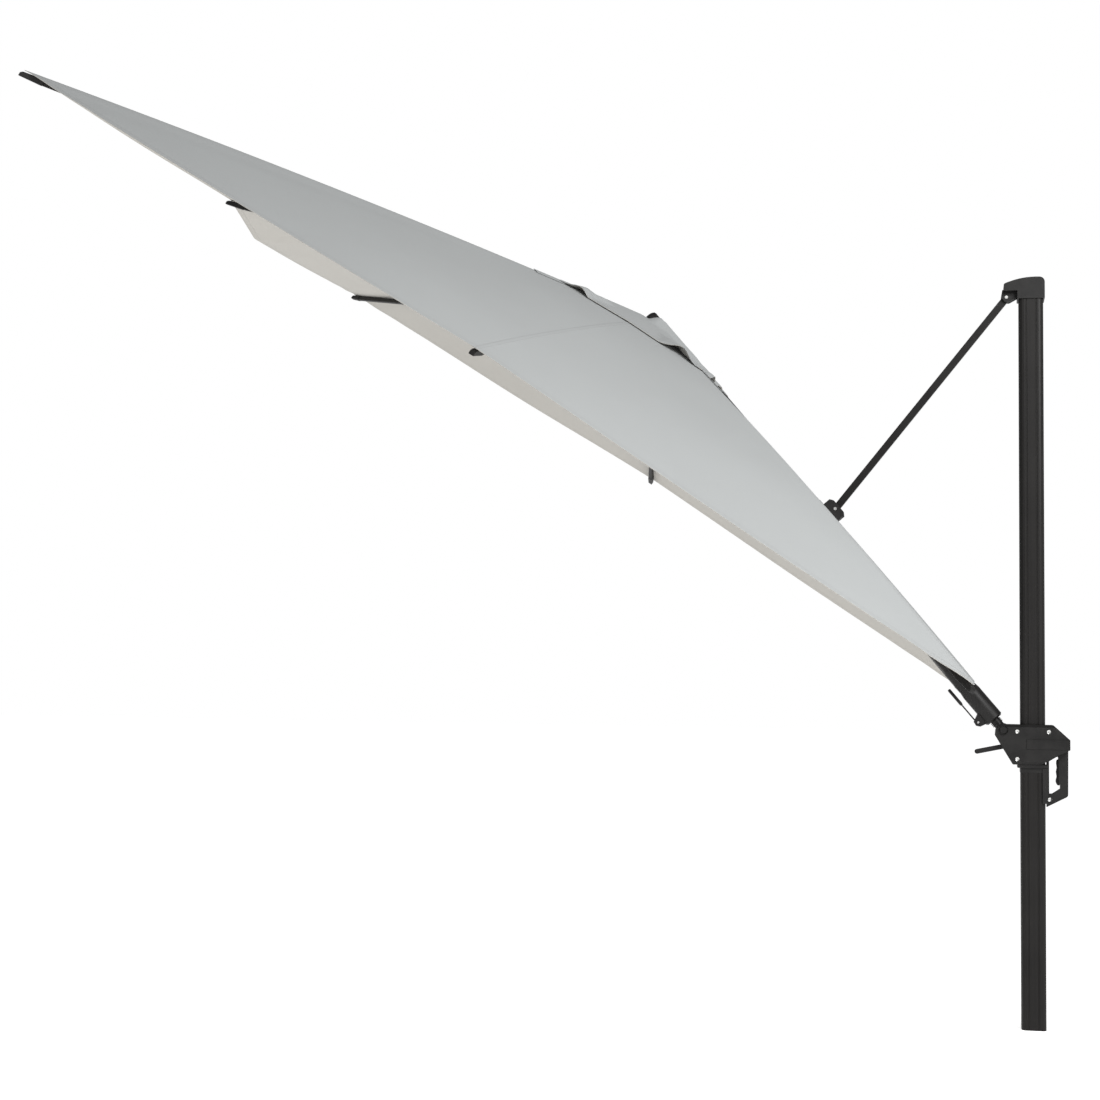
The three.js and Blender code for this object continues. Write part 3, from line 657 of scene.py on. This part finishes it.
def add_panel(number, degrees):
    angle = math.radians(degrees)
    ray = Vector((math.cos(angle), math.sin(angle)))
    bm = bmesh.new()
    rounds = CELLS_ROUND * (2 if degrees in (135, 225) else 1)
    bmesh.ops.create_grid(bm, x_segments=CELLS_OUT, y_segments=rounds, size=0.5)
    cloth = bm.loops.layers.uv.new("cloth")
    hem = bm.loops.layers.uv.new("hem")
    spots = {vert: panel_spot(angle, vert.co.x + 0.5, vert.co.y + 0.5) for vert in bm.verts}
    for vert, (spot, inward) in spots.items():
        vert.co = in_world(spot.x, spot.y, canopy_height(spot.x, spot.y))
    for face in bm.faces:
        for loop in face.loops:
            spot, inward = spots[loop.vert]
            loop[cloth].uv = (spot.dot(ray), ray.cross(spot))
            loop[hem].uv = (spot.x if abs(spot.y) > abs(spot.x) else spot.y, inward)
    return sewn_mesh(f"panel_{number}_cloth", bm)


def sewn_mesh(name, bm):
    """Gives a warped grid its thickness, its two finishes and a crisp cut edge."""
    bm.normal_update()
    if sum(face.normal.dot(up_axis) for face in bm.faces) < 0:
        bmesh.ops.reverse_faces(bm, faces=bm.faces)
    area = sum(face.calc_area() for face in bm.faces)
    bmesh.ops.solidify(bm, geom=bm.faces[:], thickness=CLOTH_THICK)
    bmesh.ops.recalc_face_normals(bm, faces=bm.faces)
    for face in bm.faces:
        face.smooth = True
        face.material_index = 1 if face.normal.dot(up_axis) < -0.2 else 0
    thing = mesh_from(name, bm)
    thing.data.set_sharp_from_angle(angle=math.radians(60))
    thing.data.materials.append(top_cloth)
    thing.data.materials.append(coated_under_cloth_painted_light)
    return thing, area


def hang_panel(number, degrees):
    panel, area = add_panel(number, degrees)
    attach(panel, f"rib_{number}")
    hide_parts(f"canopy_panel_{number}")
    angle = math.radians(degrees)
    reach = rim_point(angle)
    anchor = in_world(reach.x / 2, reach.y / 2, plain_height(0.5))
    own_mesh(panel)
    return area


areas = [hang_panel(index + 1, degrees) for index, degrees in enumerate(RIB_ANGLES)]
print("canopy of", round(sum(areas), 2), "square metres in", len(areas), "panels")

# %% [markdown]
# ## The vent flap
# A small second tier covers the hub and lets the wind out. It is held at its middle and tied down at its corners,
# so most of its hem lies on the canopy and a few places stand up in loose humps. It is a ring warped onto a
# slightly higher pyramid, and it rises over the boom where the boom comes up to the hub.

# %% Wave the flap's hem
FLAP_HALF = 0.288
FLAP_SHIFT = -0.022
FLAP_HOLE = 0.04
FLAP_RISE = 0.006
FLAP_CLEAR = 0.005
BOOM_ROOM = 0.031
TIE_LONG = 0.075
TIE_WIDE = 0.022
HUMPS = {
    "near": ((0.2, 0.024, 0.04), (0.02, 0.007, 0.05), (-0.19, 0.03, 0.045)),
    "far": ((0.17, 0.02, 0.05), (-0.03, 0.02, 0.05), (-0.22, 0.022, 0.04)),
    "out": ((0.17, 0.012, 0.06), (-0.05, 0.015, 0.08), (-0.22, 0.01, 0.04)),
    "in": ((0.19, 0.016, 0.05), (-0.19, 0.016, 0.05)),
}


def side_of(out, near):
    if abs(near) > abs(out):
        return ("near" if near > 0 else "far"), out
    return ("out" if out > 0 else "in"), near


def flap_height(out, near):
    share = max(abs(out), abs(near)) / HALF
    plain = plain_height(share) + FLAP_RISE
    over = plain_height(0) - math.tan(BOOM_TILT - CANOPY_TILT) * abs(out) + BOOM_ROOM
    beside = 1 - smooth(abs(near), 0.028, 0.1)
    return plain + max(over - plain, 0) * beside * smooth(-out, -0.02, 0.03)


def flap_wave(out, near, step_out):
    corner = min(abs(out), abs(near)) / max(abs(out), abs(near), 0.001)
    side, along = side_of(out, near)
    along = along / max(step_out, 0.3)
    height = sum(high * math.exp(-((along - at) / wide) ** 2) for at, high, wide in HUMPS[side])
    ripple = noise.noise(Vector((out * 17, near * 17, 0.7))) * 0.008
    slack = 0.01 * math.sin(math.pi * min(step_out * 1.6, 1)) ** 2
    return (height + ripple) * smooth(step_out, 0.3, 1.0) * (1 - corner ** 6) - slack * smooth(out, -0.1, 0.1)


def add_ties(bm, cloth, hem):
    """Adds a strip of webbing at each corner, from the flap down to the canopy."""
    for out_side in (-1, 1):
        for near_side in (-1, 1):
            made = bmesh.ops.create_grid(bm, x_segments=14, y_segments=4, size=0.5)["verts"]
            for vert in made:
                reach = FLAP_HALF - 0.012 + TIE_LONG * (vert.co.x + 0.5)
                across = vert.co.y * TIE_WIDE * out_side * near_side
                out = (reach - across) * out_side
                near = (reach + across) * near_side
                out += FLAP_SHIFT
                high = canopy_height(out, near) + 0.003
                uv = (reach * math.sqrt(2), 0.2 + vert.co.y * TIE_WIDE)
                vert.co = in_world(out, near, high)
                for loop in vert.link_loops:
                    loop[cloth].uv = uv
                    loop[hem].uv = (uv[0], 0.1 + uv[1])


def add_flap():
    bm = bmesh.new()
    bmesh.ops.create_grid(bm, x_segments=48, y_segments=240, size=0.5)
    cloth = bm.loops.layers.uv.new("cloth")
    hem = bm.loops.layers.uv.new("hem")
    spots = {}
    for vert in bm.verts:
        step_out = vert.co.x + 0.5
        reach = rim_point(math.radians(360 * (vert.co.y + 0.5))) / HALF
        spot = reach * (FLAP_HOLE + (FLAP_HALF - FLAP_HOLE) * step_out)
        spot.x += FLAP_SHIFT * step_out
        spots[vert] = (spot, (FLAP_HALF - FLAP_HOLE) * (1 - step_out))
        height = flap_height(spot.x, spot.y) + flap_wave(spot.x, spot.y, step_out)
        height = max(height, canopy_height(spot.x, spot.y) + FLAP_CLEAR)
        vert.co = in_world(spot.x, spot.y, height)
    for face in bm.faces:
        for loop in face.loops:
            spot, inward = spots[loop.vert]
            loop[cloth].uv = (spot.x, spot.y)
            loop[hem].uv = (spot.x if abs(spot.y) > abs(spot.x) else spot.y, inward)
    bmesh.ops.remove_doubles(bm, verts=bm.verts, dist=0.0001)
    add_ties(bm, cloth, hem)
    return sewn_mesh("vent_flap_cloth", bm)


flap, flap_area = add_flap()
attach(flap, "boom")
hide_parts("vent_flap")
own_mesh(flap)
print("flap of", round(flap_area, 3), "square metres")
